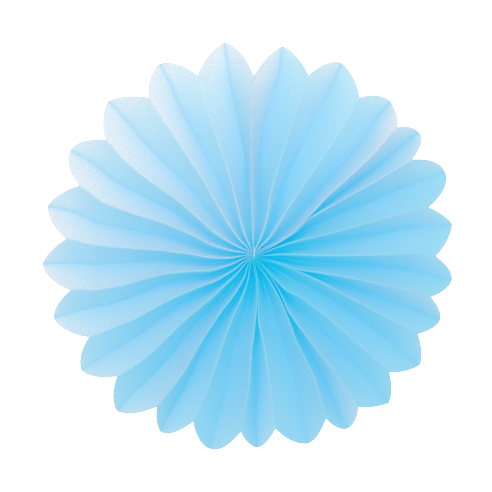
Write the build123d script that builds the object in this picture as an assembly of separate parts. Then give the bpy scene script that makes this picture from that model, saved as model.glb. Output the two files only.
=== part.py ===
"""Paper fan rosette: one pleated strip of tissue paper, fanned round to a full circle of 24 petals.

The rosette lies on its back. The hub axis is Z, the back folds lie in the plane Z = 0, the front
folds stand over them, and +Y is the top of the rosette. Units are millimetres.
"""

from build123d import *
from collections import namedtuple
import math
import os

# How far the notches between petals lie from the hub axis, and how much further the petals' tips
# reach, both on average
notch_reach = 179.0
petal_length = 21.0

# How far the front folds stand over the back folds at the notches
rim_rise = 24.0

# One layer of paper, modelled stiffer than tissue is, and the width of a fold's blunt crest
paper_wall = 0.3
crest_width = 0.3

# The gathered middle, where all the inner edges are drawn together and glued
hub_radius = 3.4
hub_grip = 0.5
hub_sink = 1.2

# How far the pleats are made past the longest petal before the scallops are cut
trim_allowance = 6.0

# The largest share of its width that a pleat opens to, so that it never lies quite flat
widest_run = 0.98

# Petals are counted from the top of the rosette towards its left, and bearings are in degrees from
# +X towards +Y. The fan was opened by hand, so no two pleats stand alike.

# One back fold each: the bearing of its tip, its reach past the average, the share of its petal at
# which it lies half way in, and the swell of the cut edges before and after the tip
BackFold = namedtuple("BackFold", "bearing reach inner_share bow_before bow_after")
back_folds = [
    BackFold(97.9, 11.5, 0.24, 5.3, 4.3),
    BackFold(116.0, 10.0, 0.52, 5.3, 4.8),
    BackFold(133.1, 8.5, 0.49, 2.6, 4.1),
    BackFold(149.9, 7.8, 0.41, 4.5, 4.2),
    BackFold(166.2, 7.8, 0.43, 3.5, 4.5),
    BackFold(182.0, 6.8, 0.36, 2.1, 4.4),
    BackFold(197.1, 4.8, 0.35, 4.5, 5.1),
    BackFold(213.5, 2.0, 0.35, 4.7, 3.2),
    BackFold(228.5, 1.4, 0.42, 4.8, 2.7),
    BackFold(241.9, -6.0, 0.17, 2.3, 4.8),
    BackFold(257.3, -7.0, 0.40, 4.9, 5.9),
    BackFold(270.9, -13.0, 0.28, 3.0, 3.5),
    BackFold(286.0, -10.5, 0.55, 4.1, 3.3),
    BackFold(298.7, -9.1, 0.43, 4.3, 3.2),
    BackFold(312.6, -6.0, 0.50, 0.8, 2.6),
    BackFold(326.9, -7.0, 0.61, 2.6, 2.0),
    BackFold(341.5, -7.6, 0.55, 3.5, 3.0),
    BackFold(353.7, -5.0, 0.60, 4.0, 3.5),
    BackFold(369.2, -3.6, 0.64, 2.8, 2.4),
    BackFold(384.0, 3.8, 0.59, 6.6, 6.4),
    BackFold(397.0, 1.9, 0.53, 6.4, 3.3),
    BackFold(408.5, 1.9, 0.36, 2.3, 4.7),
    BackFold(425.6, 7.8, 0.64, 3.4, 5.6),
    BackFold(442.3, 7.8, 0.74, 3.8, 3.3),
]

# One front fold each, the one before the petal of the same place in the list above: the bearing of
# its notch, its reach past the average, and its bearings on the rings further in, outermost first.
# Each ring's radius is a share of the notches' reach. Where two folds draw together on the inner
# rings, the pleat between them is pressed shut.
ring_shares = (0.877, 0.737, 0.492, 0.341, 0.246, 0.109)
FrontFold = namedtuple("FrontFold", "bearing reach inner_bearings")
front_folds = [
    FrontFold(90.0, -2.5, (90.6, 91.2, 91.3, 92.3, 91.9, 92.0)),
    FrontFold(107.3, 6.2, (107.8, 107.5, 106.9, 107.4, 109.4, 113.7)),
    FrontFold(123.6, 7.5, (123.7, 123.6, 123.7, 125.1, 127.0, 130.7)),
    FrontFold(141.9, 5.3, (143.5, 144.2, 143.8, 145.9, 149.0, 149.7)),
    FrontFold(158.0, 5.3, (160.3, 160.6, 159.7, 160.6, 164.8, 165.5)),
    FrontFold(174.7, 5.3, (175.8, 176.2, 176.2, 177.6, 181.2, 183.9)),
    FrontFold(190.4, 3.3, (192.0, 192.5, 190.8, 193.0, 198.2, 199.0)),
    FrontFold(206.0, 0.4, (206.8, 207.6, 207.2, 208.4, 212.6, 214.0)),
    FrontFold(221.1, -1.6, (222.6, 223.4, 222.4, 223.8, 224.0, 225.0)),
    FrontFold(236.9, -4.5, (237.9, 238.7, 238.2, 238.8, 242.3, 246.0)),
    FrontFold(249.6, -7.5, (250.3, 250.9, 250.2, 250.5, 253.3, 256.0)),
    FrontFold(265.4, -7.5, (266.4, 267.6, 268.5, 270.4, 271.5, 272.5)),
    FrontFold(277.0, -9.8, (277.2, 277.3, 276.4, 273.8, 274.3, 277.5)),
    FrontFold(293.5, -6.1, (294.9, 296.4, 296.6, 299.9, 302.0, 303.0)),
    FrontFold(304.8, -0.6, (305.0, 304.9, 303.5, 301.6, 304.8, 308.0)),
    FrontFold(319.4, -5.5, (319.8, 320.0, 320.5, 319.7, 314.0, 312.5)),
    FrontFold(334.6, -2.6, (335.3, 335.6, 337.4, 340.0, 341.8, 343.0)),
    FrontFold(347.1, -2.1, (347.8, 347.8, 347.6, 346.1, 344.2, 348.0)),
    FrontFold(360.1, -1.9, (361.1, 360.8, 360.7, 361.2, 362.3, 365.5)),
    FrontFold(375.7, -1.9, (376.3, 376.3, 376.6, 377.9, 380.1, 382.5)),
    FrontFold(391.5, -0.6, (391.7, 391.8, 393.3, 393.3, 389.9, 387.0)),
    FrontFold(402.0, 9.6, (400.8, 400.2, 399.5, 395.1, 392.5, 391.5)),
    FrontFold(416.4, 7.2, (415.5, 415.2, 415.3, 415.2, 414.0, 410.5)),
    FrontFold(433.3, 5.7, (433.9, 433.9, 434.9, 435.3, 431.9, 429.0)),
]

# At the hub the front folds are evenly spaced, from this bearing on
hub_bearing = 94.0

petal_count = len(back_folds)
tip_reach = notch_reach + petal_length
inner_rings = [share * notch_reach for share in ring_shares]
fanning_radius = math.sqrt(hub_radius * inner_rings[-1])
pleat_half_turn = math.pi / petal_count
pleat_width = math.hypot(rim_rise, notch_reach * pleat_half_turn)
outer_reach = tip_reach + max(fold.reach for fold in back_folds) + trim_allowance


def share_at(fold, radius):
    """Where a back fold lies across its petal at a radius, from 0 at the front fold before it to 1."""
    before, after = rim_bearings_beside(fold)
    rim_share = (fold.bearing - before) / (after - before)
    outward = radius / notch_reach
    if outward >= 1.0:
        return rim_share
    if outward < 0.5:
        return 0.5 + (fold.inner_share - 0.5) * 2.0 * outward
    return fold.inner_share + (rim_share - fold.inner_share) * (2.0 * outward - 1.0)


def rim_bearings_beside(fold):
    """The bearings of the notches on either side of a back fold's tip."""
    index = back_folds.index(fold)
    after = front_folds[(index + 1) % petal_count].bearing
    if index + 1 == petal_count:
        after += 360.0
    return front_folds[index].bearing, after


def alternate(radius, fronts):
    """Bearings of all folds round one ring, front and back in turn, from the front folds' own."""
    bearings = []
    for index, fold in enumerate(back_folds):
        here = fronts[index]
        beyond = fronts[index + 1] if index + 1 < petal_count else fronts[0] + 360.0
        bearings.append(math.radians(here))
        bearings.append(math.radians(here + share_at(fold, radius) * (beyond - here)))
    return bearings


def stations():
    """Each ring's radius and the bearings of all folds there, from the hub out past the rim."""
    even = [hub_bearing + 360.0 * index / petal_count for index in range(petal_count)]
    innermost = [fold.inner_bearings[-1] for fold in front_folds]
    half_way = [0.5 * (start + finish) for start, finish in zip(even, innermost)]
    rim = [fold.bearing for fold in front_folds]
    rows = [(hub_radius, alternate(hub_radius, even)), (fanning_radius, alternate(fanning_radius, half_way))]
    for ring, radius in reversed(list(enumerate(inner_rings))):
        rows.append((radius, alternate(radius, [fold.inner_bearings[ring] for fold in front_folds])))
    rows.append((notch_reach, alternate(notch_reach, rim)))
    rows.append((outer_reach, alternate(outer_reach, rim)))
    return rows


def turn_between(bearing, other):
    """The smaller turn from one bearing to another, never negative."""
    return abs((other - bearing + math.pi) % (2 * math.pi) - math.pi)


def fold_corners(radius, folds, index):
    """The three corners of one fold on one ring: its crest's two edges and the notch behind it."""
    bearing = folds[index]
    before = radius * turn_between(bearing, folds[index - 1])
    after = radius * turn_between(bearing, folds[(index + 1) % len(folds)])
    is_front = index % 2 == 0
    run = min(0.5 * (before + after), widest_run * pleat_width)
    rise = math.sqrt(pleat_width**2 - run**2)
    half_before = 0.5 * paper_wall * math.hypot(before, rise) / rise
    half_after = 0.5 * paper_wall * math.hypot(after, rise) / rise
    depth = rise * (half_before + half_after) / (before + after)
    shift = after * (half_before + half_after) / (before + after) - half_after
    if is_front:
        crest = paper_wall + rise
        inside = 0.5 * paper_wall + rise - depth
    else:
        crest = 0.0
        inside = 0.5 * paper_wall + depth

    def place(sideways, height):
        along_x = radius * math.cos(bearing) - sideways * math.sin(bearing)
        along_y = radius * math.sin(bearing) + sideways * math.cos(bearing)
        return Vector(along_x, along_y, height)

    return place(-0.5 * crest_width, crest), place(0.5 * crest_width, crest), place(shift, inside)


def pleated_sheet():
    """The pleated paper as a closed solid of flat facets, from the hub to past the rim."""
    rows = stations()
    fold_count = 2 * petal_count
    folds = [[fold_corners(radius, bearings, index) for radius, bearings in rows] for index in range(fold_count)]
    faces = []
    for index, here in enumerate(folds):
        beyond = folds[(index + 1) % fold_count]
        for inner in range(len(rows) - 1):
            near, far, inside = zip(here[inner], here[inner + 1])
            next_near, _, next_inside = zip(beyond[inner], beyond[inner + 1])
            bends_forward = (far[0] - next_near[1]).length < (far[1] - next_near[0]).length
            faces += strip(near, far, bends_forward)
            faces += strip(far, next_inside, bends_forward)
            faces += strip(inside, next_near, bends_forward)
        for end in (0, -1):
            faces.append(facet(*here[end]))
            faces += strip((here[end][1], beyond[end][2]), (here[end][2], beyond[end][0]), True)
    return Solid(Shell(faces))


def facet(*corners):
    """One flat face between three corners."""
    return Face(Wire.make_polygon(corners, close=True))


def strip(line, other, bends_forward):
    """The paper between two lines of two points each, as two facets, bent from one corner or the other."""
    if bends_forward:
        return [facet(line[0], line[1], other[1]), facet(line[0], other[1], other[0])]
    return [facet(line[0], line[1], other[0]), facet(line[1], other[1], other[0])]


def scalloped_outline():
    """The rosette's outline from the front: two cut edges a petal, from notch to tip to notch."""
    edges = []
    for index, fold in enumerate(back_folds):
        before, after = rim_bearings_beside(fold)
        notch = (before, notch_reach + front_folds[index].reach)
        tip = (fold.bearing, tip_reach + fold.reach)
        next_notch = (after, notch_reach + front_folds[(index + 1) % petal_count].reach)
        edges.append(swollen_edge(notch, tip, fold.bow_before))
        edges.append(swollen_edge(tip, next_notch, fold.bow_after))
    return Face(Wire(edges))


def swollen_edge(start, finish, bow):
    """A cut edge between two points given as bearing and radius, swollen outward at its middle."""
    middle = (0.5 * (start[0] + finish[0]), 0.5 * (start[1] + finish[1]) + bow)
    return ThreePointArc(*(on_circle(radius, math.radians(bearing)) for bearing, radius in (start, middle, finish)))


def on_circle(radius, bearing):
    """A point in the plane Z = 0."""
    return Vector(radius * math.cos(bearing), radius * math.sin(bearing), 0)


def gathered_middle():
    """The drawn-together inner edges, flat behind and a little sunk in front."""
    height = paper_wall + pleat_width - hub_sink
    return extrude(Circle(hub_radius + hub_grip).face(), amount=height)


stack_height = 2 * (pleat_width + paper_wall)
cutter = Pos(0, 0, -0.5 * stack_height) * extrude(scalloped_outline(), amount=2 * stack_height)
sheet = pleated_sheet()
rosette = (sheet & cutter) + gathered_middle()
rosette = rosette.solids()[0]
rosette.label = "pleated_paper"

os.makedirs("parts", exist_ok=True)
export_step(rosette, "parts/pleated_paper.step")
print("pleat width", round(pleat_width, 2), "volume", round(rosette.volume, 1), "valid", rosette.is_valid)
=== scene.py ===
"""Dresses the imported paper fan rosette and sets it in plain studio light.

The CAD solid is replaced by the same pleated strip in thin tissue, with round folds, slack pleats
and the pinch of its gathered middle. The rosette lies on its back: Z is the hub axis, and +Y is
the top of the rosette. Sizes of the paper are in millimetres until a mesh is finished.
"""

import logging
import math
from dataclasses import dataclass
from enum import Enum
from typing import Any

import bmesh
import bpy
import numpy as np
from mathutils import Matrix, Vector, noise

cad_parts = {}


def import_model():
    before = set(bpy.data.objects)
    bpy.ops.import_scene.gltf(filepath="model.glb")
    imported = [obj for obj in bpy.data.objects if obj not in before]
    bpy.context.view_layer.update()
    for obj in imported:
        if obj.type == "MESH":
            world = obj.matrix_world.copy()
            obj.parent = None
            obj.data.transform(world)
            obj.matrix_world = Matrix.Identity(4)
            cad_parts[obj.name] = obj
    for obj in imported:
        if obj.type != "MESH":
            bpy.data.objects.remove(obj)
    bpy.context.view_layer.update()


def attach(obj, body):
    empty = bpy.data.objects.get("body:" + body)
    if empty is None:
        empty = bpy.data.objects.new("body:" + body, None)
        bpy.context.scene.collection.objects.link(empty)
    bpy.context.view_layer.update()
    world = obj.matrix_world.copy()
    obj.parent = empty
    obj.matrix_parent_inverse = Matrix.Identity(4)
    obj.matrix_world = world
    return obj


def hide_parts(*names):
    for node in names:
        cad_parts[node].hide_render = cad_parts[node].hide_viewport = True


MILLIMETRE = 0.001
BODY = "root"
PAPER_NODE = "pleated_paper"
PAPER_MAP = "paper"

Colour = tuple[float, float, float, float]
WHITE: Colour = (1.0, 1.0, 1.0, 1.0)

logger = logging.getLogger("rosette")


class Layer(Enum):
    """A number that the paper's meshes carry at each vertex, for its finish to read."""

    REACH = "reach"
    CREASE = "crease"
    # Painted light and shade: high where light falls on the paper, low where shade falls.
    FADE = "fade"


@dataclass(frozen=True)
class BackFold:
    """A fold at the back of the fan, which runs out to a petal's tip.

    Attributes:
        bearing: Degrees from +X towards +Y at the tip.
        reach: How far the tip lies past the average one.
        inner_share: The share of its petal at which it lies half way in.
        bow_before: Swell of the cut edge before the tip.
        bow_after: Swell of the cut edge after the tip.
        bluntness: How far the tip is rounded back.
        light_before: How much more light is painted on the panel before the tip.
        light_after: The same for the panel after the tip.
    """

    bearing: float
    reach: float
    inner_share: float
    bow_before: float
    bow_after: float
    bluntness: float = 0.3
    light_before: float = 0.0
    light_after: float = 0.0


@dataclass(frozen=True)
class FrontFold:
    """A fold at the front of the fan, which runs out to the notch before a petal.

    Attributes:
        bearing: Degrees from +X towards +Y at the notch.
        reach: How far the notch lies past the average one.
        inner_bearings: The bearings on the rings further in, outermost first.
    """

    bearing: float
    reach: float
    inner_bearings: tuple[float, ...]


# light_before and light_after paint light on single panels, and shade where they are below nothing.
BACK_FOLDS = (
    BackFold(97.9, 11.2, 0.24, 7.3, 4.3, light_after=-0.14),
    BackFold(116.0, 10.0, 0.52, 5.3, 4.8, light_after=0.14),
    BackFold(133.1, 8.5, 0.49, 2.6, 4.1, light_after=0.06),
    BackFold(149.9, 8.2, 0.41, 5.4, 5.2, 1.2, light_after=0.06),
    BackFold(166.2, 7.8, 0.43, 3.5, 4.5),
    BackFold(182.0, 6.9, 0.36, 3.3, 5.6),
    BackFold(197.1, 4.8, 0.35, 4.5, 5.1),
    BackFold(213.5, 2.0, 0.35, 4.7, 4.8),
    BackFold(228.5, 1.9, 0.42, 4.8, 4.9, light_after=0.08),
    BackFold(241.9, -5.7, 0.17, 2.6, 5.8, light_before=0.08),
    BackFold(257.3, -7.0, 0.40, 4.9, 5.9),
    BackFold(270.9, -13.0, 0.28, 3.0, 3.5, light_before=0.30, light_after=0.30),
    BackFold(286.0, -9.6, 0.55, 4.1, 3.9),
    BackFold(298.7, -8.5, 0.43, 4.3, 3.2, light_before=0.25, light_after=0.44),
    BackFold(312.6, -5.3, 0.50, 1.5, 3.2),
    BackFold(326.9, -6.2, 0.61, 2.6, 2.6, light_before=-0.10),
    BackFold(341.5, -7.6, 0.55, 3.5, 3.0, light_after=0.30),
    BackFold(353.7, -5.0, 0.60, 4.0, 3.5, light_before=-0.07),
    BackFold(369.2, -3.6, 0.64, 2.8, 2.4),
    BackFold(384.0, 4.2, 0.59, 7.6, 6.4, light_before=-0.12, light_after=-0.12),
    BackFold(397.0, 1.9, 0.53, 6.4, 3.3, light_before=0.38, light_after=0.34),
    BackFold(408.5, 1.9, 0.36, 2.3, 4.7, light_before=0.44, light_after=-0.14),
    BackFold(425.6, 7.8, 0.64, 3.4, 5.6, light_after=-0.16),
    BackFold(442.3, 7.8, 0.74, 3.8, 3.3, light_before=-0.12),
)

INNER_RINGS = (157.0, 132.0, 88.0, 61.0, 44.0, 19.6)
FRONT_FOLDS = (
    FrontFold(90.0, -2.5, (90.6, 91.2, 91.3, 92.3, 91.9, 92.0)),
    FrontFold(107.3, 6.2, (107.8, 107.5, 106.9, 107.4, 109.4, 113.7)),
    FrontFold(123.6, 7.5, (123.7, 123.6, 123.7, 125.1, 127.0, 130.7)),
    FrontFold(141.9, 5.3, (143.5, 144.2, 143.8, 145.9, 149.0, 149.7)),
    FrontFold(158.0, 5.3, (160.3, 160.6, 159.7, 160.6, 164.8, 165.5)),
    FrontFold(174.7, 5.3, (175.8, 176.2, 176.2, 177.6, 181.2, 183.9)),
    FrontFold(190.4, 3.3, (192.0, 192.5, 190.8, 193.0, 198.2, 199.0)),
    FrontFold(206.0, 0.4, (206.8, 207.6, 207.2, 208.4, 212.6, 214.0)),
    FrontFold(221.1, -1.6, (222.6, 223.4, 222.4, 223.8, 224.0, 225.0)),
    FrontFold(236.9, -4.5, (237.9, 238.7, 238.2, 238.8, 242.3, 246.0)),
    FrontFold(249.6, -7.5, (250.3, 250.9, 250.2, 250.5, 253.3, 256.0)),
    FrontFold(265.4, -7.5, (266.4, 267.6, 268.5, 271.4, 274.2, 277.2)),
    FrontFold(277.0, -9.8, (277.2, 277.3, 276.4, 273.8, 274.9, 278.6)),
    FrontFold(293.5, -6.1, (294.9, 296.4, 296.6, 299.9, 302.0, 303.0)),
    FrontFold(304.8, -0.6, (305.0, 304.9, 303.5, 301.6, 305.8, 311.2)),
    FrontFold(319.4, -5.5, (319.8, 320.0, 320.5, 319.7, 313.0, 312.5)),
    FrontFold(334.6, -2.6, (335.3, 335.6, 337.4, 340.0, 342.2, 345.6)),
    FrontFold(347.1, -2.1, (347.8, 347.8, 347.6, 346.1, 342.9, 346.9)),
    FrontFold(360.1, -1.9, (361.1, 360.8, 360.7, 361.2, 362.3, 365.5)),
    FrontFold(375.7, -1.9, (376.3, 376.3, 376.6, 377.9, 380.1, 382.5)),
    FrontFold(391.5, 2.4, (391.7, 391.8, 393.3, 394.9, 390.6, 388.8)),
    FrontFold(402.0, 9.6, (400.8, 400.2, 399.5, 395.6, 391.3, 390.2)),
    FrontFold(416.4, 7.2, (415.5, 415.2, 415.3, 415.2, 414.0, 410.5)),
    FrontFold(433.3, 5.7, (433.9, 433.9, 434.9, 435.3, 431.9, 429.0)),
)


def smooth_step(low: float, high: float, value: float) -> float:
    """A soft rise from 0 at low to 1 at high, read at value."""
    share = min(max((value - low) / (high - low), 0.0), 1.0)
    return share * share * (3.0 - 2.0 * share)


def towards(place: Vector, bearing: float) -> float:
    """How far a place lies towards a bearing: 1 at it, 0 a quarter turn on, and -1 opposite."""
    return math.cos(math.atan2(place.y, place.x) - math.radians(bearing))


@dataclass(frozen=True)
class FanLayout:
    """Where each fold of the open fan runs, in millimetres and degrees.

    Attributes:
        tip_reach: Average radius of the petals' tips.
        notch_reach: Average radius of the notches between them.
        rim_rise: How far the front folds stand over the back ones at the notches.
        hub_radius: Radius of the gathered middle.
        hub_bearing: Bearing of the first front fold at the hub, where all are evenly spaced.
        hub_share: The share of its petal at which each back fold lies at the hub axis.
        curve_length: Over what length along a fold its bends are rounded off.
        tip_rounding: Over what share of a panel its end of the tip is rounded.
    """

    tip_reach: float = 200.0
    notch_reach: float = 179.0
    rim_rise: float = 24.0
    hub_radius: float = 3.4
    hub_bearing: float = 94.0
    hub_share: float = 0.5
    curve_length: float = 9.0
    tip_rounding: float = 0.3

    @property
    def petal_count(self) -> int:
        """How many petals the fan has."""
        return len(BACK_FOLDS)

    @property
    def panel_count(self) -> int:
        """How many pleat panels the fan has, two a petal."""
        return 2 * self.petal_count

    @property
    def pleat_width(self) -> float:
        """Width of one panel across the strip's folds."""
        return math.hypot(self.rim_rise, self.notch_reach * math.pi / self.petal_count)

    def front_line(self, index: int, radii: np.ndarray) -> np.ndarray:
        """Bearings of a front fold at the given radii.

        Args:
            index: Which front fold, where a whole turn on is the same fold again.
            radii: Radii in millimetres, rising.

        Returns:
            One bearing in degrees for each radius.
        """
        turns, place = divmod(index, self.petal_count)
        fold = FRONT_FOLDS[place]
        at_hub = self.hub_bearing + 360.0 * place / self.petal_count
        rings = (self.hub_radius, *reversed(INNER_RINGS), self.notch_reach)
        bearings = (at_hub, *reversed(fold.inner_bearings), fold.bearing)
        return np.interp(radii, rings, bearings) + 360.0 * turns

    def back_share(self, index: int, radii: np.ndarray) -> np.ndarray:
        """Where a back fold lies between the front folds beside it, from 0 to 1.

        Args:
            index: Which back fold.
            radii: Radii in millimetres, rising.

        Returns:
            One share for each radius.
        """
        fold = BACK_FOLDS[index]
        before, after = self.rim_bearings_beside(index)
        rim_share = (fold.bearing - before) / (after - before)
        rings = (0.0, 0.5 * self.notch_reach, self.notch_reach)
        return np.interp(radii, rings, (self.hub_share, fold.inner_share, rim_share))

    def rim_bearings_beside(self, index: int) -> tuple[float, float]:
        """The bearings of the notches before and after a petal."""
        turns, place = divmod(index + 1, self.petal_count)
        return FRONT_FOLDS[index].bearing, FRONT_FOLDS[place].bearing + 360.0 * turns

    def fold_bearings(self, radii: np.ndarray) -> np.ndarray:
        """Bearings of all folds at evenly spaced radii, with the bends in their lines rounded off.

        Args:
            radii: Radii in millimetres, evenly spaced.

        Returns:
            One row of radians for each fold, front and back in turn, and the first one again.
        """
        fronts = [self.front_line(index, radii) for index in range(self.petal_count + 1)]
        lines = []
        for index in range(self.petal_count):
            share = self.back_share(index, radii)
            lines.append(fronts[index])
            lines.append(fronts[index] + share * (fronts[index + 1] - fronts[index]))
        lines.append(fronts[-1])
        half = max(1, round(self.curve_length / (radii[1] - radii[0])))
        kernel = np.hanning(2 * half + 1)[1:-1]
        kernel /= kernel.sum()
        rounded = [np.convolve(np.pad(line, half - 1, mode="edge"), kernel, mode="valid") for line in lines]
        return np.radians(np.array(rounded))

    def cut_radius(self, panel: int, share: float) -> float:
        """Radius of the scalloped cut edge at a share of the way across a panel.

        Args:
            panel: Which panel, counted round the fan.
            share: From 0 at the panel's first fold to 1 at its second.

        Returns:
            The radius in millimetres.
        """
        petal, second_half = divmod(panel, 2)
        fold = BACK_FOLDS[petal]
        notch_fold = FRONT_FOLDS[(petal + second_half) % self.petal_count]
        notch = self.notch_reach + notch_fold.reach
        tip = self.tip_reach + fold.reach
        start, finish = (tip, notch) if second_half else (notch, tip)
        bow = fold.bow_after if second_half else fold.bow_before
        near_tip = max(0.0, 1.0 - (share if second_half else 1.0 - share) / self.tip_rounding)
        swell = 4.0 * bow * share * (1.0 - share) - fold.bluntness * near_tip**2
        return start + share * (finish - start) + swell


@dataclass(frozen=True)
class PleatedSheet:
    """The fanned strip of tissue: one sheet of paper with a fold between each two panels.

    Attributes:
        layout: Where the folds run.
        thickness: Of the paper with its nap.
        rest_gap: How far the paper's middle layer stays off the floor.
        crest_radius: Radius of a front fold.
        crease_radius: Radius of a back fold.
        column_shares: Where the columns of the mesh cross a panel, closest beside its folds.
        rows: How many rows of faces lie between the hub and the cut edge.
        fold_room: The largest radius of a fold, as a share of its panel's spread.
        widest_run: The largest share of its width that a panel opens to.
        pinch_drop: How far the front folds are drawn down at the hub.
        pinch_reach: The radius at which that ends.
        slack: How far a panel's middle may bow out of its plane.
        slack_level: The share of that by which an average panel does.
        slack_swing: By how much of it the panels differ.
        slack_scales: How fast that changes by panel and by radius, and the noise's level.
        loose_radii: Between which radii the panels come loose of the pinch.
        waver: How far a fold may stray sideways.
        waver_scales: How fast that changes by radius and by fold, and the noise's level.
        waver_radii: Between which radii the folds begin to stray.
        crinkle: Height of the fine dents in the paper.
        crinkles: The dents' size along the strip and the folds, and the noise's level.
        ray_strength: How much higher the rays near the middle are.
        rays: The same for the rays.
        ray_rise: Between which radii they begin.
        ray_fall: Between which radii they end.
        tuck: How far the strip's last edge lies past and under its first one, sideways and down.
        light_level: The average painted light.
        lit_bearing: The bearing at which the painted light is strongest.
        light_swing: How much stronger it is there at the rim than a quarter turn on.
        hub_power: How closely what is different beside the hub keeps to it.
        upper_bearing: The bearing at which more light is painted beside the hub.
        upper_light: How much more light is painted there.
        upper_power: How narrow that part is.
        side_light: How much more light is painted on the panels after the tips.
        lit_valley_bearing: Where most light is painted along the back folds; opposite, painted shade.
        valley_light: How much more light is painted there on the panels before the tips.
        valley_power: How closely that keeps to the back folds.
        notch_bearing: The bearing at which the panels after the tips get most painted shade.
        notch_shade: How much painted shade they get there near the rim.
        notch_power: How closely that keeps to the front folds.
        notch_rim_power: How fast it goes near the hub.
        end_panel_light: How much more light is painted on the two glued end panels.
        table_step: Spacing of the radii at which the folds' bearings are worked out.
        table_reach: How far out that goes, as a share of the tips' reach.
    """

    layout: FanLayout
    thickness: float = 0.2
    rest_gap: float = 0.45
    crest_radius: float = 0.42
    crease_radius: float = 0.1
    column_shares: tuple[float, ...] = (0.0, 0.012, 0.05, 0.14, 0.3, 0.5, 0.7, 0.86, 0.95, 0.988)
    rows: int = 90
    fold_room: float = 0.2
    widest_run: float = 0.98
    pinch_drop: float = 1.6
    pinch_reach: float = 9.0
    slack: float = 0.9
    slack_level: float = 0.4
    slack_swing: float = 0.9
    slack_scales: tuple[float, float, float] = (7.3, 0.012, 2.0)
    loose_radii: tuple[float, float] = (6.0, 70.0)
    waver: float = 0.3
    waver_scales: tuple[float, float, float] = (0.035, 5.1, 0.0)
    waver_radii: tuple[float, float] = (20.0, 70.0)
    crinkle: float = 0.1
    crinkles: tuple[float, float, float] = (5.0, 9.0, 3.0)
    ray_strength: float = 2.2
    rays: tuple[float, float, float] = (4.0, 40.0, 8.0)
    ray_rise: tuple[float, float] = (6.0, 16.0)
    ray_fall: tuple[float, float] = (40.0, 110.0)
    tuck: tuple[float, float] = (0.25, 0.7)
    # Painted light and shade for the paper's colour.
    light_level: float = 0.5
    lit_bearing: float = 124.0
    light_swing: float = 0.42
    hub_power: float = 4.0
    upper_bearing: float = 60.0
    upper_light: float = 0.34
    upper_power: float = 3.0
    side_light: float = 0.34
    lit_valley_bearing: float = 165.0
    valley_light: float = 0.48
    valley_power: float = 1.5
    notch_bearing: float = 95.0
    notch_shade: float = 0.22
    notch_power: float = 2.0
    notch_rim_power: float = 4.0
    end_panel_light: float = 0.1
    table_step: float = 1.0
    table_reach: float = 1.2

    def build(self, finish: bpy.types.Material) -> bpy.types.Object:
        """Makes the sheet as one piece.

        Args:
            finish: The tissue's material.

        Returns:
            The finished object, riding on the fan's body in place of the CAD solid.
        """
        columns = self.layout.panel_count * len(self.column_shares)
        mesh = bmesh.new()
        bmesh.ops.create_grid(mesh, x_segments=columns, y_segments=self.rows, size=0.5)
        layers = add_layers(mesh)
        flat_places = {}
        bearings = self.bearing_table()
        for vertex in mesh.verts:
            panel, share = self.panel_at(round((vertex.co.x + 0.5) * columns))
            radius = self.radius_at(panel, share, vertex.co.y + 0.5)
            crease = 1.0 - share if panel % 2 else share
            flat_places[vertex] = Vector(((panel + share) * self.layout.pleat_width, radius))
            vertex.co = self.place(bearings, panel, share, radius)
            vertex[layers[Layer.REACH]] = radius / self.layout.tip_reach
            vertex[layers[Layer.CREASE]] = crease
            # Painted light and shade at this vertex.
            vertex[layers[Layer.FADE]] = self.painted_light_at(vertex.co, panel, crease)
        lay_paper_map(mesh, flat_places)
        bmesh.ops.recalc_face_normals(mesh, faces=mesh.faces)
        smooth_in_metres(mesh)
        sheet = finished_object("pleated_tissue", mesh, finish)
        wall = sheet.modifiers.new("paper thickness", "SOLIDIFY")
        wall.thickness = self.thickness * MILLIMETRE
        wall.offset = 0.0
        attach(sheet, BODY)
        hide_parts(PAPER_NODE)
        return sheet

    def painted_light_at(self, place: Vector, panel: int, crease: float) -> float:
        """The painted light and shade, from about 0 at the bottom to 1 at the top left.

        Args:
            place: A point of the open fan.
            panel: Which panel it is on.
            crease: From 0 at the panel's front fold to 1 at its back fold.

        Returns:
            The painted light, which is painted shade where it is low.
        """
        inwards = max(0.0, 1.0 - place.to_2d().length / self.layout.tip_reach) ** self.hub_power
        # Painted light towards the top left, painted shade towards the bottom.
        fade = self.light_level + self.light_swing * (1.0 + inwards) * towards(place, self.lit_bearing)
        upper = max(0.0, towards(place, self.upper_bearing))
        fade += self.upper_light * inwards * upper**self.upper_power
        petal, second_half = divmod(panel, 2)
        # Painted light on the panels after the tips, painted shade on those before them.
        fade += self.side_light * (second_half - 0.5)
        if second_half:
            # Painted shade beside the front folds near the top, towards the rim.
            notch_side = max(0.0, towards(place, self.notch_bearing))
            painted_shade = self.notch_shade * notch_side * (1.0 - crease) ** self.notch_power
            fade -= painted_shade * (1.0 - inwards) ** self.notch_rim_power
        else:
            # Painted light along the back folds on the left, painted shade along them on the lower right.
            valley_side = towards(place, self.lit_valley_bearing)
            fade += self.valley_light * valley_side * (1.0 - inwards) * crease**self.valley_power
        # Light painted on single panels, shade where the number is below nothing.
        fade += BACK_FOLDS[petal].light_after if second_half else BACK_FOLDS[petal].light_before
        # Painted light on the two glued end panels.
        return fade + self.end_panel_light if panel in (0, self.layout.panel_count - 1) else fade

    def bearing_table(self) -> np.ndarray:
        """Bearings of all folds at radii that rise by table_step from 0 to past the longest petal."""
        reach = self.table_reach * self.layout.tip_reach
        return self.layout.fold_bearings(np.arange(0.0, reach, self.table_step))

    def panel_at(self, column: int) -> tuple[int, float]:
        """Finds where a column of the mesh lies.

        Args:
            column: Which column, counted round the fan.

        Returns:
            The panel that it crosses, and at what share of the panel.
        """
        panel, place = divmod(column, len(self.column_shares))
        if panel == self.layout.panel_count:
            return panel - 1, 1.0
        return panel, self.column_shares[place]

    def radius_at(self, panel: int, share: float, row_share: float) -> float:
        """Radius of a row of the mesh, which runs from the hub to the scalloped edge."""
        hub = self.layout.hub_radius
        return hub + row_share * (self.layout.cut_radius(panel, share) - hub)

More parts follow.
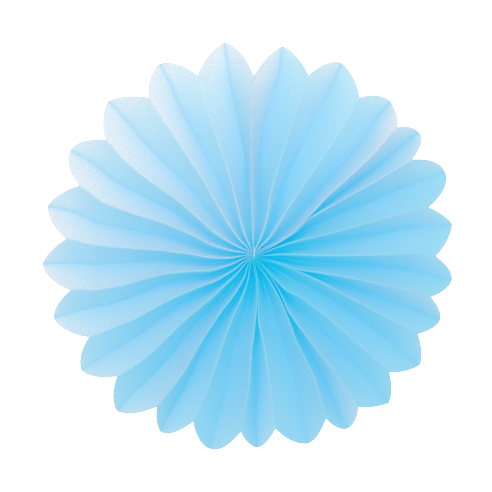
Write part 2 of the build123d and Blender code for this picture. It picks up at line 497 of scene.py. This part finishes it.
    def place(self, bearings: np.ndarray, panel: int, share: float, radius: float) -> Vector:
        """Where a point of the paper lies in the open fan.

        Args:
            bearings: The table of bearings of all folds.
            panel: Which panel the point is on.
            share: How far across it, from 0 to 1.
            radius: Distance from the hub axis.

        Returns:
            The place in millimetres.
        """
        start = self.crest(bearings, panel, radius)
        finish = self.crest(bearings, panel + 1, radius)
        across = finish - start
        outward = (0.5 * (start + finish)).to_2d().normalized().to_3d()
        normal = outward.cross(across).normalized()
        from_crest = share * self.layout.pleat_width
        from_crease = (1.0 - share) * self.layout.pleat_width
        if panel % 2:
            from_crest, from_crease = from_crease, from_crest
        room = self.fold_room * across.to_2d().length
        rounding = self.fold_rounding(from_crest, min(self.crest_radius, room))
        rounding -= self.fold_rounding(from_crease, min(self.crease_radius, room))
        loose = smooth_step(*self.loose_radii, radius)
        turns, falls, level = self.slack_scales
        bowing = noise.noise(Vector((turns * panel, falls * radius, level)))
        sag = self.slack * (self.slack_level + self.slack_swing * bowing)
        lift = rounding + loose * sag * math.sin(math.pi * share) + self.dents(panel, share, radius)
        return start + share * across + lift * normal

    def crest(self, bearings: np.ndarray, fold: int, radius: float) -> Vector:
        """A point on a fold's line.

        Args:
            bearings: The table of bearings of all folds.
            fold: Which fold, where even ones are at the front.
            radius: Distance from the hub axis.

        Returns:
            The place in millimetres.
        """
        last = self.layout.panel_count
        width = self.layout.pleat_width
        here = self.bearing_at(bearings, fold, radius)
        height = self.rest_gap
        if fold % 2 == 0:
            before = self.bearing_at(bearings, fold - 1, radius)
            after = self.bearing_at(bearings, fold + 1, radius)
            run = min(0.5 * radius * (after - before), self.widest_run * width)
            pinched = 1.0 - smooth_step(self.layout.hub_radius, self.pinch_reach, radius)
            height += math.sqrt(width**2 - run**2)
            height -= self.pinch_drop * pinched
        falls, turns, level = self.waver_scales
        straying = noise.noise(Vector((falls * radius, turns * (fold % last), level)))
        stray = self.waver * smooth_step(*self.waver_radii, radius) * straying
        if fold == last:
            stray += self.tuck[0]
            height -= self.tuck[1]
        turn = here + stray / radius
        return Vector((radius * math.cos(turn), radius * math.sin(turn), height))

    def bearing_at(self, bearings: np.ndarray, fold: int, radius: float) -> float:
        """A fold's bearing at any radius, read between two places of the table.

        Args:
            bearings: The table of bearings of all folds.
            fold: Which fold, where a whole turn on is the same fold again.
            radius: Distance from the hub axis.

        Returns:
            The bearing in radians.
        """
        place, share = divmod(radius / self.table_step, 1.0)
        lower = int(place)
        turns, line = divmod(fold, self.layout.panel_count)
        bearing = bearings[line, lower] * (1.0 - share) + bearings[line, lower + 1] * share
        return float(bearing) + 2.0 * math.pi * turns

    def fold_rounding(self, distance: float, room: float) -> float:
        """How far a round fold pushes the paper beside it out of the panel's plane.

        Args:
            distance: From the fold's line, across the panel.
            room: The fold's radius here.

        Returns:
            The push in millimetres, which fades out by the panel's middle.
        """
        fade = max(0.0, 1.0 - 2.0 * distance / self.layout.pleat_width)
        inside = max(0.0, 1.0 - distance / room)
        return room * math.sqrt(1.0 - inside * inside) * fade

    def dents(self, panel: int, share: float, radius: float) -> float:
        """Height of the crinkles, which draw out into rays near the gathered middle.

        Args:
            panel: Which panel the point is on.
            share: How far across it, from 0 to 1.
            radius: Distance from the hub axis.

        Returns:
            The height in millimetres.
        """
        across = (panel + share) * self.layout.pleat_width
        near_hub = smooth_step(*self.ray_rise, radius) * (1.0 - smooth_step(*self.ray_fall, radius))
        width, length, level = self.crinkles
        fine = noise.noise(Vector((across / width, radius / length, level)))
        width, length, level = self.rays
        rays = noise.noise(Vector((across / width, radius / length, level)))
        held = math.sin(math.pi * share)
        return held * self.crinkle * (fine + self.ray_strength * near_hub * rays)


@dataclass(frozen=True)
class GatheredMiddle:
    """The drawn-together inner edges: a short core whose front spreads a little, pinched into rays.

    Attributes:
        layout: Where the folds run.
        radius: Of the core's side.
        front_radius: Of the spread front.
        front_height: Of the pinch's edge over the floor.
        back_height: Of the core's back over the floor.
        neck_drop: How far under the front the core begins to spread.
        dip: How far the pinch sinks towards its middle.
        ray_depth: Depth of the hollows between the rays at the front's edge.
        edge_drop: How far the rays themselves sink there, as a share of that depth.
        back_shares: Where rings of the mesh cross the back, from the middle out.
        front_shares: Where they cross the front, from the edge in.
        touch: How near two corners lie that count as one.
        front_touch: How near the front's height a vertex lies that counts as on it.
        steps: How many steps go round the core.
        lit_bearing: The bearing at which its painted light is strongest.
        fade: Its painted light in the middle.
        edge_light_swing: How much more light is painted at the front's edge at that bearing.
    """

    layout: FanLayout
    radius: float = 3.9
    front_radius: float = 7.5
    front_height: float = 32.3
    back_height: float = 0.1
    neck_drop: float = 12.0
    dip: float = 0.5
    ray_depth: float = 6.0
    edge_drop: float = 0.15
    back_shares: tuple[float, ...] = (0.0, 0.5, 1.0)
    front_shares: tuple[float, ...] = (1.0, 0.85, 0.7, 0.55, 0.4, 0.28, 0.18, 0.08, 0.0)
    touch: float = 0.001
    front_touch: float = 0.01
    steps: int = 192
    # Painted light of the core.
    lit_bearing: float = 124.0
    fade: float = 0.25
    edge_light_swing: float = 0.35

    def build(self, finish: bpy.types.Material) -> bpy.types.Object:
        """Makes the core as one piece.

        Args:
            finish: The tissue's material.

        Returns:
            The finished object, riding on the fan's body.
        """
        mesh = bmesh.new()
        profile = [Vector((share * self.radius, 0.0, self.back_height)) for share in self.back_shares]
        profile.append(Vector((self.radius, 0.0, self.front_height - self.neck_drop)))
        for share in self.front_shares:
            profile.append(Vector((share * self.front_radius, 0.0, self.front_height)))
        corners = [bmesh.ops.create_vert(mesh, co=corner)["vert"][0] for corner in profile]
        outline = [mesh.edges.new(pair) for pair in zip(corners, corners[1:])]
        bmesh.ops.spin(
            mesh,
            geom=corners + outline,
            axis=(0, 0, 1),
            angle=2.0 * math.pi,
            steps=self.steps,
            use_merge=True,
        )
        bmesh.ops.remove_doubles(mesh, verts=mesh.verts, dist=self.touch)
        bmesh.ops.recalc_face_normals(mesh, faces=mesh.faces)
        layers = add_layers(mesh)
        for vertex in mesh.verts:
            outward = vertex.co.to_2d().length / self.front_radius
            upper = towards(vertex.co, self.lit_bearing)
            vertex[layers[Layer.REACH]] = 0.0
            vertex[layers[Layer.CREASE]] = 1.0 - self.ray_at(vertex)
            # Painted light towards the top left, painted shade opposite.
            vertex[layers[Layer.FADE]] = self.fade + self.edge_light_swing * outward * upper
            self.pinch(vertex)
        lay_paper_map(mesh, {vertex: vertex.co.to_2d() for vertex in mesh.verts})
        smooth_in_metres(mesh)
        middle = finished_object("gathered_middle", mesh, finish)
        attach(middle, BODY)
        return middle

    def pinch(self, vertex: bmesh.types.BMVert) -> None:
        """Moves a vertex of the core's front so that rays run in to its middle.

        Args:
            vertex: Any vertex of the core. Those that aren't on its front stay.
        """
        if vertex.co.z < self.front_height - self.front_touch:
            return
        outward = vertex.co.to_2d().length / self.front_radius
        vertex.co.z -= self.dip * (1.0 - outward) ** 2
        hollow = (1.0 - self.ray_at(vertex)) * outward
        vertex.co.z -= self.ray_depth * (hollow + self.edge_drop * outward**2)

    def ray_at(self, vertex: bmesh.types.BMVert) -> float:
        """How near a vertex lies to a ray, from 0 midway between two rays to 1 on one."""
        turn = math.degrees(math.atan2(vertex.co.y, vertex.co.x)) - self.layout.hub_bearing
        return abs(2.0 * ((turn * self.layout.petal_count / 360.0) % 1.0) - 1.0)


@dataclass(frozen=True)
class SeamEdge:
    """The pale glued edge of the strip's end, which stands a little out of the pinched middle.

    Attributes:
        bearing: Degrees from +X towards +Y.
        length: From the hub axis outwards.
        width: Across the edge.
        top: Height of its top over the floor.
        depth: How far it goes down into the pleats.
        rounding: How far its edges are rounded.
        rounding_steps: In how many steps.
    """

    bearing: float = 85.0
    length: float = 9.5
    width: float = 0.8
    top: float = 33.3
    depth: float = 3.0
    rounding: float = 0.24
    rounding_steps: int = 3

    def build(self, finish: bpy.types.Material) -> bpy.types.Object:
        """Makes the edge as one piece.

        Args:
            finish: The glued paper's material.

        Returns:
            The finished object, riding on the fan's body.
        """
        mesh = bmesh.new()
        bmesh.ops.create_cube(mesh, size=1.0)
        bmesh.ops.scale(mesh, vec=(self.length, self.width, self.depth), verts=mesh.verts)
        bmesh.ops.bevel(
            mesh,
            geom=mesh.edges,
            offset=self.rounding,
            segments=self.rounding_steps,
            profile=0.5,
            affect="EDGES",
            material=-1,
        )
        middle = (0.5 * self.length, 0.0, self.top - 0.5 * self.depth)
        bmesh.ops.translate(mesh, vec=middle, verts=mesh.verts)
        turn = Matrix.Rotation(math.radians(self.bearing), 3, "Z")
        bmesh.ops.rotate(mesh, cent=(0, 0, 0), matrix=turn, verts=mesh.verts)
        smooth_in_metres(mesh)
        edge = finished_object("seam_edge", mesh, finish)
        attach(edge, BODY)
        return edge


def add_layers(mesh: bmesh.types.BMesh) -> dict[Layer, bmesh.types.BMLayerItem]:
    """Gives a mesh the numbers that the tissue's finish reads, to be filled at each vertex."""
    return {layer: mesh.verts.layers.float.new(layer.value) for layer in Layer}


def lay_paper_map(mesh: bmesh.types.BMesh, places: dict[bmesh.types.BMVert, Vector]) -> None:
    """Lays a map over the flat paper in metres, so that the grain follows the paper.

    Args:
        mesh: A piece of the paper.
        places: Where each vertex lies on the flat paper, in millimetres.
    """
    map_layer = mesh.loops.layers.uv.new(PAPER_MAP)
    for face in mesh.faces:
        for loop in face.loops:
            loop[map_layer].uv = places[loop.vert] * MILLIMETRE


def smooth_in_metres(mesh: bmesh.types.BMesh) -> None:
    """Takes a mesh from millimetres to metres, and has it shaded smoothly.

    Args:
        mesh: The mesh in millimetres.
    """
    bmesh.ops.scale(mesh, vec=(MILLIMETRE,) * 3, verts=mesh.verts)
    for face in mesh.faces:
        face.smooth = True


def finished_object(name: str, mesh: bmesh.types.BMesh, finish: bpy.types.Material) -> bpy.types.Object:
    """Turns a bmesh into an object of the scene.

    Args:
        name: The object's name.
        mesh: The mesh in metres, which is freed.
        finish: Its material.

    Returns:
        The new object, at the origin.
    """
    data = bpy.data.meshes.new(name)
    mesh.to_mesh(data)
    mesh.free()
    data.materials.append(finish)
    made = bpy.data.objects.new(name, data)
    bpy.context.scene.collection.objects.link(made)
    return made


class Amount:
    """A number that changes over a surface, so that shader maths reads as plain Python."""

    def __init__(self, recipe: "Recipe", socket: bpy.types.NodeSocket) -> None:
        """Keeps the socket that gives the number."""
        self.recipe = recipe
        self.socket = socket

    def joined(self, operation: str, first: Any, second: Any) -> "Amount":
        """The result of one Math node on two amounts or numbers."""
        node = self.recipe.node("ShaderNodeMath", {"operation": operation}, {0: first, 1: second})
        return Amount(self.recipe, node.outputs[0])

    def __add__(self, other: Any) -> "Amount":
        """Sum."""
        return self.joined("ADD", self, other)

    def __sub__(self, other: Any) -> "Amount":
        """Difference."""
        return self.joined("SUBTRACT", self, other)

    def __rsub__(self, other: Any) -> "Amount":
        """Difference from a number."""
        return self.joined("SUBTRACT", other, self)

    def __mul__(self, other: Any) -> "Amount":
        """Product."""
        return self.joined("MULTIPLY", self, other)

    def __pow__(self, power: float) -> "Amount":
        """Power of an amount that isn't negative."""
        return self.joined("POWER", self, power)


class Recipe:
    """The node tree of one finish."""

    def __init__(self, name: str) -> None:
        """Starts an empty tree.

        Args:
            name: The material's name.
        """
        self.material = bpy.data.materials.new(name)
        self.material.use_nodes = True
        self.tree = self.material.node_tree
        self.tree.nodes.clear()

    def node(
        self, kind: str, settings: dict[str, Any] | None = None, sockets: dict[Any, Any] | None = None
    ) -> bpy.types.Node:
        """Adds a node.

        Args:
            kind: The node's type.
            settings: Its properties, which are set first.
            sockets: Values or links for its inputs, by name or place.

        Returns:
            The new node.
        """
        node = self.tree.nodes.new(kind)
        for name, value in (settings or {}).items():
            setattr(node, name, value)
        for name, value in (sockets or {}).items():
            self.feed(node.inputs[name], value)
        return node

    def feed(self, target: bpy.types.NodeSocket, value: Any) -> None:
        """Links or sets one input.

        Args:
            target: The input.
            value: An amount or a socket to link, or a value to set.
        """
        if isinstance(value, Amount):
            value = value.socket
        if isinstance(value, bpy.types.NodeSocket):
            self.tree.links.new(value, target)
        else:
            target.default_value = value

    def attribute(self, layer: Layer) -> Amount:
        """Reads an amount that the piece's mesh carries."""
        node = self.node("ShaderNodeAttribute", {"attribute_name": layer.value})
        return Amount(self, node.outputs["Fac"])

    def grain(self, place: bpy.types.NodeSocket, scale: float, detail: float) -> Amount:
        """Soft noise from 0 to 1 over the paper, with scale waves to the metre and detail finer layers."""
        sockets = {"Vector": place, "Scale": scale, "Detail": detail}
        return Amount(self, self.node("ShaderNodeTexNoise", {"noise_dimensions": "2D"}, sockets).outputs[0])

    def mix(self, share: Amount, first: Any, second: Any) -> bpy.types.NodeSocket:
        """The colour between two, at a share of 0 for the first and 1 for the second."""
        node = self.node("ShaderNodeMix", {"data_type": "RGBA"}, {0: share, 6: first, 7: second})
        return node.outputs[2]

    def finish(self, surface: bpy.types.Node) -> bpy.types.Material:
        """Closes the tree with its surface shader."""
        self.node("ShaderNodeOutputMaterial", None, {"Surface": surface.outputs[0]})
        return self.material


@dataclass(frozen=True)
class Tissue:
    """Light-blue tissue: matt, see-through enough to glow, with painted light at the top and rim.

    Attributes:
        pale: Colour of the petals where the most light is painted.
        deep: Colour of the petals in painted shade.
        deepest_shade: Colour of the deepest painted shade.
        valley_shade: Colour of the painted shade deep between the pleats.
        hub_shade: Colour near the gathered middle: painted shade, partly the packed paper's deeper tone.
        lit_hub: Colour of the paper there where light is painted.
        fibre_shade: Colour of the darker fibres.
        crease_shadow: Colour of the painted shade line along the folds at the back.
        crest_highlight: Colour of the painted highlight along the front folds near the middle.
        lit_crest_highlight: Colour of that painted highlight where more light is painted.
        glow: Colour of the light that comes through.
        glow_share: How much of the light comes through.
        glow_swing: How much that share changes with the fibres.
        roughness: Of the nap.
        sheen: How strongly it mirrors.
        open_share: How much more light is painted at the rim than at the hub.
        open_power: How late that begins on the way out.
        rim_share: How much more light still is painted at the very rim.
        rim_power: How late that begins.
        light_share: How much the painted light counts.
        closed_share: How much of all this stays unseen.
        deepest_shade_share: How far painted light below nothing turns into the deepest painted shade.
        heart_start: How much of the painted light stays unseen near the middle.
        heart_power: How closely the colours near the hub keep to the middle.
        valley_share: How strongly shade is painted in the valleys.
        valley_power: How closely that keeps to the back folds.
        valley_spread: How late it begins on the way out.
        rim_light: How much of it goes at the rim.
        rim_light_power: How late that begins.
        line_share: How strong the painted shade line along the back folds is.
        line_power: How narrow it is.
        crest_power: How narrow the painted highlight along the front folds is.
        crest_spread: How closely it keeps to the middle.
        clouds: Clouds of the dye to the metre, and how many finer layers they have.
        cloud_swing: How much they change the colour.
        cloud_height: How high they stand beside the fibres.
        fibres: Fibres to the metre, and how many finer layers they have.
        fibre_contrast: How strongly they differ.
        fibre_start: The darkness under which they don't show.
        fibre_share: How strongly they show near the middle.
        fibre_rim_share: How much more they show at the rim.
        nap_strength: How strongly the nap catches the light.
        nap_depth: Its depth in metres.
    """

    pale: Colour = (0.83, 1.0, 1.0, 1.0)
    deep: Colour = (0.25, 0.80, 1.0, 1.0)
    deepest_shade: Colour = (0.10, 0.76, 1.0, 1.0)
    valley_shade: Colour = (0.18, 0.45, 0.73, 1.0)
    hub_shade: Colour = (0.07, 1.0, 1.0, 1.0)
    lit_hub: Colour = (0.80, 1.0, 1.0, 1.0)
    fibre_shade: Colour = (0.34, 0.42, 0.62, 1.0)
    crease_shadow: Colour = (0.12, 0.56, 0.86, 1.0)
    crest_highlight: Colour = (0.12, 0.92, 1.0, 1.0)
    lit_crest_highlight: Colour = (0.36, 0.98, 1.0, 1.0)
    glow: Colour = (0.44, 0.84, 0.95, 1.0)
    glow_share: float = 0.4
    glow_swing: float = 0.5
    roughness: float = 0.9
    sheen: float = 0.2
    open_share: float = 0.55
    open_power: float = 1.3
    rim_share: float = 0.15
    rim_power: float = 8.0
    light_share: float = 1.2
    closed_share: float = 0.75
    deepest_shade_share: float = 0.6
    heart_start: float = 0.1
    heart_power: float = 5.0
    valley_share: float = 0.5
    valley_power: float = 1.5
    valley_spread: float = 0.5
    rim_light: float = 0.42
    rim_light_power: float = 6.0
    line_share: float = 0.55
    line_power: float = 18.0
    crest_power: float = 9.0
    crest_spread: float = 3.0
    clouds: tuple[float, float] = (260.0, 2.0)
    cloud_swing: float = 0.3
    cloud_height: float = 1.5
    fibres: tuple[float, float] = (450.0, 3.0)
    fibre_contrast: float = 1.2
    fibre_start: float = 0.1
    fibre_share: float = 0.2
    fibre_rim_share: float = 0.45
    nap_strength: float = 0.35
    nap_depth: float = 0.0002

    def material(self) -> bpy.types.Material:
        """Makes the tissue's material."""
        recipe = Recipe("light-blue tissue paper")
        paper = recipe.node("ShaderNodeUVMap", {"uv_map": PAPER_MAP}).outputs[0]
        reach = recipe.attribute(Layer.REACH)
        crease = recipe.attribute(Layer.CREASE)
        # fade carries the painted light and shade.
        fade = recipe.attribute(Layer.FADE)
        cloudy = recipe.grain(paper, *self.clouds)
        fibres = recipe.grain(paper, *self.fibres)
        # Painted light: paler towards the rim and where fade is high.
        opening = (reach**self.open_power) * self.open_share + (reach**self.rim_power) * self.rim_share
        openness = opening + fade * self.light_share - self.closed_share
        clouded = openness + (cloudy - 0.5) * self.cloud_swing
        open_paper = recipe.mix(clouded, self.deep, self.pale)
        # The deepest painted shade, where fade falls below nothing.
        body = recipe.mix(fade * -self.deepest_shade_share, open_paper, self.deepest_shade)
        # Near the hub: painted deep shade between the packed pleats, and painted light where fade is high.
        inner = recipe.mix(fade * self.light_share - self.heart_start, self.hub_shade, self.lit_hub)
        dye_and_light = recipe.mix((1.0 - reach) ** self.heart_power, body, inner)
        # Painted shade in the valleys, less of it at the rim.
        painted_shade = self.valley_share - (reach**self.rim_light_power) * self.rim_light
        depth = (crease**self.valley_power) * (reach**self.valley_spread) * painted_shade
        shaded = recipe.mix(depth, dye_and_light, self.valley_shade)
        # A thin painted shade line along the back folds.
        line = (crease**self.line_power) * reach * self.line_share
        creased = recipe.mix(line, shaded, self.crease_shadow)
        dark_fibres = fibres * self.fibre_contrast - self.fibre_start
        shown = reach * self.fibre_rim_share + self.fibre_share
        mottled = recipe.mix(dark_fibres * shown, creased, self.fibre_shade)
        # A painted highlight along the front folds near the middle, paler where fade is high.
        highlight_share = ((1.0 - crease) ** self.crest_power) * ((1.0 - reach) ** self.crest_spread)
        crest = recipe.mix(fade, self.crest_highlight, self.lit_crest_highlight)
        crested = recipe.mix(highlight_share, mottled, crest)
        heights = fibres + cloudy * self.cloud_height
        nap_sockets = {"Strength": self.nap_strength, "Distance": self.nap_depth, "Height": heights}
        nap = recipe.node("ShaderNodeBump", None, nap_sockets)
        face_sockets = {
            "Base Color": crested,
            "Roughness": self.roughness,
            "Specular IOR Level": self.sheen,
            "Normal": nap.outputs[0],
        }
        face = recipe.node("ShaderNodeBsdfPrincipled", None, face_sockets)
        through = recipe.node("ShaderNodeBsdfTranslucent", None, {"Color": self.glow})
        thinness = (fibres - 0.5) * self.glow_swing + self.glow_share
        sides = {0: thinness, 1: face.outputs[0], 2: through.outputs[0]}
        return recipe.finish(recipe.node("ShaderNodeMixShader", None, sides))


@dataclass(frozen=True)
class PlainFinish:
    """A finish of one colour.

    Attributes:
        name: The material's name.
        colour: Its colour.
        roughness: Its roughness.
        glow: How brightly it shines by itself.
        sheen: How strongly it mirrors.
    """

    name: str
    colour: Colour
    roughness: float = 0.8
    glow: float = 0.0
    sheen: float = 0.1

    def material(self) -> bpy.types.Material:
        """Makes the material."""
        recipe = Recipe(self.name)
        sockets = {
            "Base Color": self.colour,
            "Roughness": self.roughness,
            "Specular IOR Level": self.sheen,
            "Emission Color": WHITE,
            "Emission Strength": self.glow,
        }
        return recipe.finish(recipe.node("ShaderNodeBsdfPrincipled", None, sockets))


GLUED_PAPER = PlainFinish("glued paper edge", (0.45, 0.90, 0.97, 1.0))
LIT_FLOOR = PlainFinish("lit white floor", (0.93, 0.93, 0.93, 1.0), glow=1.5)


@dataclass(frozen=True)
class ToneCurves:
    """How the picture shows brightness, as a camera's soft shoulder does.

    Attributes:
        white_light: The brightness in the scene that counts as 1.
        red: Pairs of brightness in the scene and in the picture.
        green: The same for green, which is held back sooner.
        blue: The same for blue, which is held back most.
    """

    white_light: float = 2.0
    red: tuple[tuple[float, float], ...] = (
        (0.012, 0.012), (0.018, 0.030), (0.030, 0.083), (0.046, 0.140), (0.068, 0.203),
        (0.098, 0.283), (0.150, 0.376), (0.196, 0.484), (0.232, 0.580), (0.262, 0.670),
        (0.300, 0.760), (0.360, 0.880), (0.470, 1.000),
    )
    green: tuple[tuple[float, float], ...] = (
        (0.120, 0.490), (0.170, 0.520), (0.216, 0.553), (0.268, 0.589), (0.325, 0.636),
        (0.390, 0.692), (0.445, 0.745), (0.480, 0.792), (0.512, 0.832), (0.560, 0.885),
        (0.700, 1.000),
    )
    blue: tuple[tuple[float, float], ...] = (
        (0.250, 0.810), (0.350, 0.831), (0.440, 0.839), (0.520, 0.856), (0.577, 0.875),
        (0.625, 0.899), (0.665, 0.920), (0.690, 0.938), (0.750, 0.972), (0.820, 1.000),
    )

    def apply(self) -> None:
        """Puts the curves into the scene's view."""
        view = bpy.context.scene.view_settings
        view.view_transform = "Standard"
        view.use_curve_mapping = True
        mapping = view.curve_mapping
        mapping.white_level = (self.white_light,) * 3
        mapping.extend = "HORIZONTAL"
        for curve, places in zip(mapping.curves, (self.red, self.green, self.blue)):
            for place in places:
                curve.points.new(*place)
        mapping.update()


@dataclass(frozen=True)
class Studio:
    """The floor, the lamp and the camera, in metres.

    Attributes:
        floor: The finish of the floor, a lit white panel.
        floor_half_width: Of the floor.
        sky_strength: Of the even light from all round.
        sky_colour: Of the even light, which is slightly cool.
        lamp_colour: Of the lamp, which is warmer, as an incandescent one beside daylight is.
        lamp_place: Where the lamp hangs.
        lamp_power: In watts.
        lamp_size: How wide its round face is, which makes it soft.
        camera_height: Of the camera over the floor.
        frame_width: How much of the floor the picture takes in.
        frame_centre: Where the middle of the picture lies.
        sensor_width: Of the camera, in millimetres.
        view_height: The height over the floor at which frame_width is measured.
        light_bounces: How often light is followed from pleat to pleat.
    """

    floor: PlainFinish = LIT_FLOOR
    floor_half_width: float = 4.0
    sky_strength: float = 0.75
    sky_colour: tuple[float, float, float] = (0.90, 0.95, 1.0)
    lamp_colour: tuple[float, float, float] = (1.0, 0.85, 0.72)
    lamp_place: tuple[float, float, float] = (-0.03, 0.28, 0.80)
    lamp_power: float = 4.6
    lamp_size: float = 0.7
    camera_height: float = 6.0
    frame_width: float = 0.4796
    frame_centre: tuple[float, float] = (-0.0078, 0.0103)
    sensor_width: float = 36.0
    view_height: float = 0.012
    light_bounces: int = 32

    def build(self) -> None:
        """Makes the floor, the light and the camera."""
        self.lay_floor()
        self.light_room()
        self.hang_lamp()
        self.set_camera()
        ToneCurves().apply()

    def lay_floor(self) -> None:
        """A plain white floor at the height that the fan rests on."""
        mesh = bmesh.new()
        bmesh.ops.create_grid(mesh, x_segments=1, y_segments=1, size=self.floor_half_width)
        finished_object("floor", mesh, self.floor.material())

    def light_room(self) -> None:
        """Even, slightly cool light from all round."""
        scene = bpy.context.scene
        if scene.world is None:
            scene.world = bpy.data.worlds.new("studio")
        scene.world.use_nodes = True
        background = scene.world.node_tree.nodes["Background"]
        background.inputs["Color"].default_value = (*self.sky_colour, 1.0)
        background.inputs["Strength"].default_value = self.sky_strength
        scene.cycles.max_bounces = self.light_bounces
        scene.cycles.diffuse_bounces = self.light_bounces
        scene.cycles.transmission_bounces = self.light_bounces

    def hang_lamp(self) -> None:
        """Hangs one soft lamp that faces the fan."""
        lamp = bpy.data.lights.new("key", "AREA")
        lamp.shape = "DISK"
        lamp.size = self.lamp_size
        lamp.energy = self.lamp_power
        lamp.color = self.lamp_colour
        hung = bpy.data.objects.new("key", lamp)
        hung.location = self.lamp_place
        hung.visible_camera = False
        hung.rotation_euler = Vector(self.lamp_place).to_track_quat("Z", "Y").to_euler()
        bpy.context.scene.collection.objects.link(hung)

    def set_camera(self) -> None:
        """Looks straight down on the fan, with the picture's top towards +Y."""
        camera = bpy.data.cameras.new("camera")
        camera.sensor_width = self.sensor_width
        camera.lens = self.sensor_width * (self.camera_height - self.view_height) / self.frame_width
        stand = bpy.data.objects.new("camera", camera)
        stand.location = (*self.frame_centre, self.camera_height)
        bpy.context.scene.collection.objects.link(stand)
        bpy.context.scene.camera = stand


def report(piece: bpy.types.Object) -> None:
    """Logs a piece's name and how many faces it has."""
    logger.info("built %s with %d faces", piece.name, len(piece.data.polygons))


def main() -> None:
    """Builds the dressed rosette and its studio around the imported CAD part."""
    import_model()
    layout = FanLayout()
    tissue = Tissue().material()
    glued = GLUED_PAPER.material()
    report(PleatedSheet(layout).build(tissue))
    report(GatheredMiddle(layout).build(tissue))
    report(SeamEdge().build(glued))
    Studio().build()
    bpy.context.view_layer.update()


if __name__ == "__main__":
    logging.basicConfig(level=logging.INFO, format="%(name)s: %(message)s")
    main()
